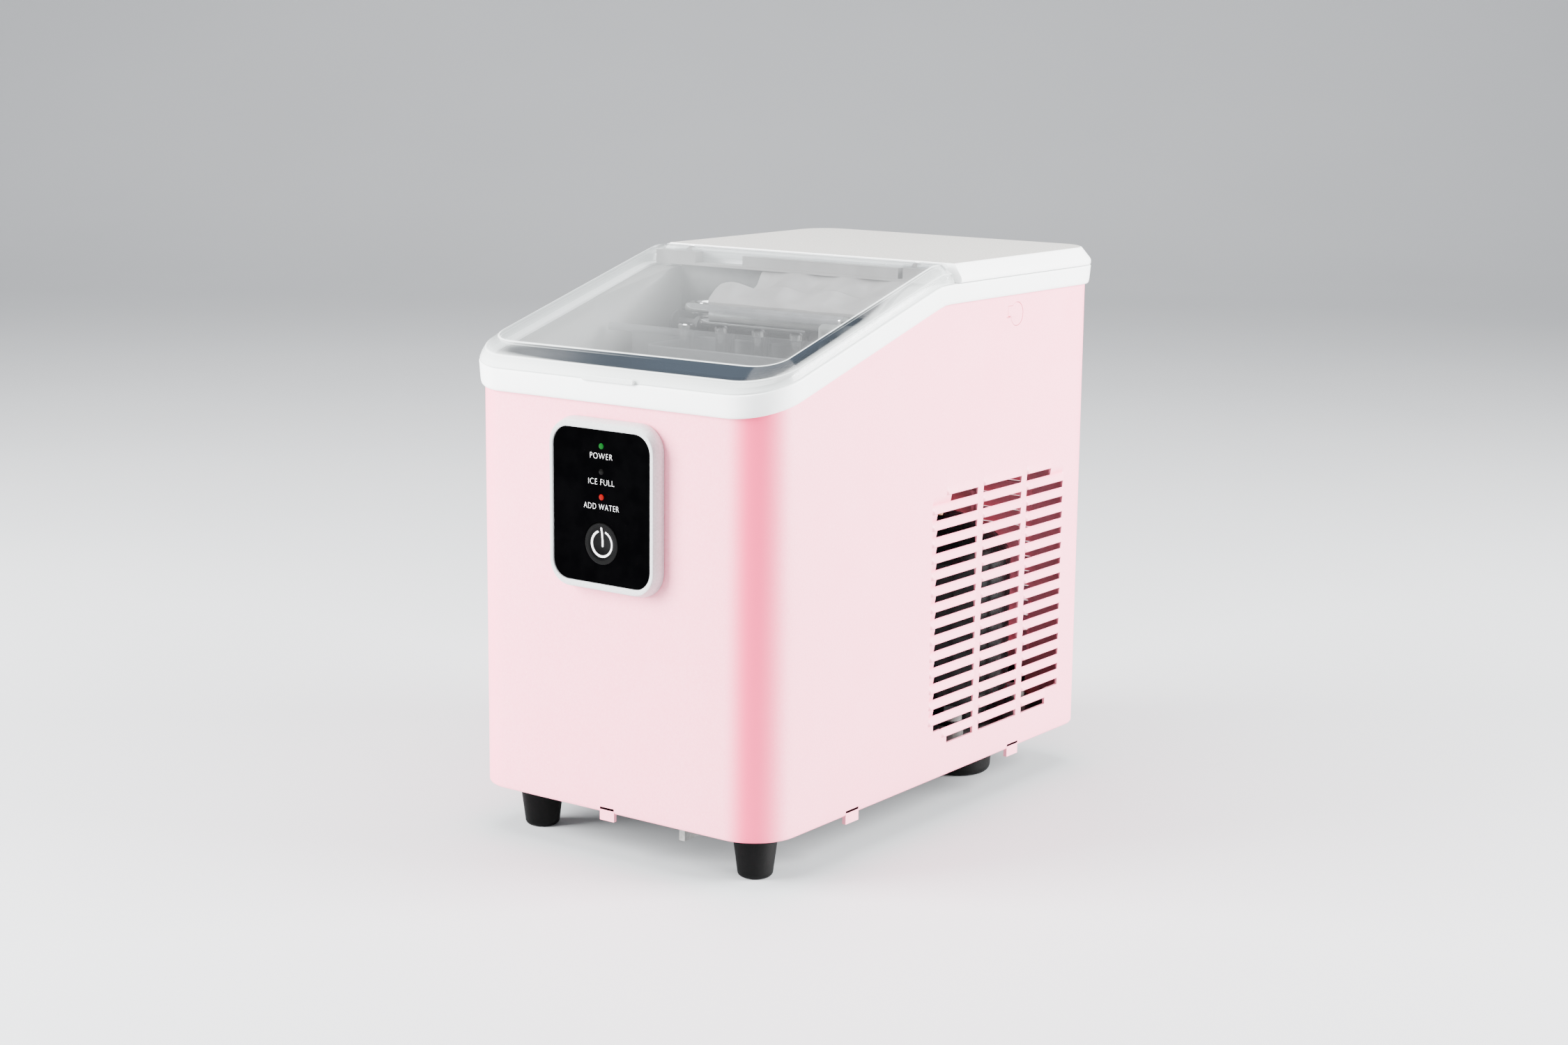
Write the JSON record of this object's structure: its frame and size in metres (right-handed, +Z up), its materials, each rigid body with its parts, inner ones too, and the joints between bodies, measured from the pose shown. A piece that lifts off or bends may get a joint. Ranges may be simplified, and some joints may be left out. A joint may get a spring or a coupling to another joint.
{
  "type": "ice maker",
  "caption": "Countertop bullet ice maker with a sloping clear lid, a pale body with side vents, a small control panel and a working ice tray inside.",
  "frame": {"origin": "centre of the object's box on the surface that the feet stand on", "axes": "+Z up, -Y to the front with the control panel, +X to the right-hand side as seen from the front"},
  "size_m": [0.2268, 0.3746, 0.3411],
  "materials": {
    "pink_body": "pearly satin, pale pink",
    "zinc_steel": "zinc plated",
    "grey_plastic": "matt mid grey",
    "black_rubber": "matt black",
    "white_plastic": "satin white, fine grain on the flat top",
    "clear_plastic": "clear, polished",
    "silver_plastic": "silver-white, satin",
    "black_gloss": "piano black",
    "green_lamp": "lit green lens",
    "dark_lamp": "unlit lens",
    "red_lamp": "lit red lens",
    "circuit_board": "green solder mask",
    "light_grey_plastic": "satin light grey",
    "grey_rubber": "matt grey",
    "foam": "expanded foam beads",
    "nickel_plate": "nickel plated, polished",
    "black_plastic": "matt black",
    "amber_plastic": "plain",
    "clear_hose": "translucent silicone",
    "black_paint": "satin black enamel",
    "aluminium_fins": "mill finish",
    "copper": "bright copper",
    "brass_valve": "plain brass"
  },
  "bodies": {
    "cabinet": {"body_shell": "pink_body", "rear_panel": "pink_body", "rear_panel_screws": "zinc_steel", "base_pan": "grey_plastic", "base_screws": "zinc_steel", "foot_front_left": "black_rubber", "foot_front_right": "black_rubber", "foot_rear_left": "black_rubber", "foot_rear_right": "black_rubber", "side_plug_left": "pink_body", "side_plug_right": "pink_body", "cord_bush": "black_rubber", "top_frame": "white_plastic", "rear_cover": "white_plastic", "hinge_rail": "white_plastic", "hinge_pins": "zinc_steel", "control_bezel": "silver_plastic", "control_window": "black_gloss", "power_led": "green_lamp", "ice_full_led": "dark_lamp", "add_water_led": "red_lamp", "control_board": "circuit_board", "main_board": "circuit_board", "bin_liner": "light_grey_plastic", "side_insulation": "foam", "drain_spout": "light_grey_plastic", "ice_chute": "light_grey_plastic", "ice_sensors": "black_gloss", "evaporator": "nickel_plate", "evaporator_cover": "light_grey_plastic", "tray_bushes": "white_plastic", "tray_motor": "zinc_steel", "pump_body": "black_plastic", "pump_hose": "clear_hose", "compressor": "black_paint", "compressor_feet": "black_rubber", "compressor_bolts": "zinc_steel", "condenser": "aluminium_fins", "fan_shroud": "black_plastic", "fan_motor": "zinc_steel", "filter_drier": "copper", "hot_gas_valve": "brass_valve", "discharge_pipe": "copper", "suction_pipe": "copper"},
    "lid": {"lid": "clear_plastic"},
    "power_button": {"power_button": "black_gloss"},
    "tray": {"water_tray": "light_grey_plastic"},
    "shovel": {"ice_shovel": "light_grey_plastic"},
    "impeller": {"pump_impeller": "amber_plastic"},
    "fan": {"fan_wheel": "black_plastic"},
    "basket": {"ice_basket": "light_grey_plastic"},
    "scoop": {"ice_scoop": "clear_plastic"},
    "plug": {"drain_plug": "grey_rubber"}
  },
  "joints": [
    {"name": "lid_hinge", "type": "hinge", "parent": "cabinet", "child": "lid", "pos_m": [0, 0.004, 0.3374], "axis": [-1, 0, 0], "range_deg": [0, 108]},
    {"name": "button_press", "type": "slide", "parent": "cabinet", "child": "power_button", "axis": [0, 1, 0], "range_m": [0, 0.0006], "stiffness_N_per_m": 3000, "springref_m": -0.0002},
    {"name": "tray_tilt", "type": "hinge", "parent": "cabinet", "child": "tray", "pos_m": [0, -0.006, 0.292], "axis": [1, 0, 0], "range_deg": [0, 78]},
    {"name": "shovel_swing", "type": "hinge", "parent": "cabinet", "child": "shovel", "pos_m": [0, -0.07, 0.296], "axis": [1, 0, 0], "range_deg": [0, 20.1]},
    {"name": "impeller_spin", "type": "hinge", "parent": "cabinet", "child": "impeller", "pos_m": [0.063, 0, 0.082], "axis": [0, 1, 0], "continuous": true},
    {"name": "fan_spin", "type": "hinge", "parent": "cabinet", "child": "fan", "pos_m": [0, 0.074, 0.124], "axis": [1, 0, 0], "continuous": true},
    {"name": "basket_lift", "type": "slide", "parent": "cabinet", "child": "basket", "axis": [0, 0, 1], "range_m": [0, 0.085]},
    {"name": "scoop_lift", "type": "slide", "parent": "basket", "child": "scoop", "axis": [0, 0, 1], "range_m": [0, 0.06]},
    {"name": "plug_pull", "type": "slide", "parent": "cabinet", "child": "plug", "axis": [0, 0, -1], "range_m": [0, 0.012]}
  ],
  "couplings": [
    {"joint": "shovel_swing", "follows": "tray_tilt", "ratio": 0.25641}
  ]
}
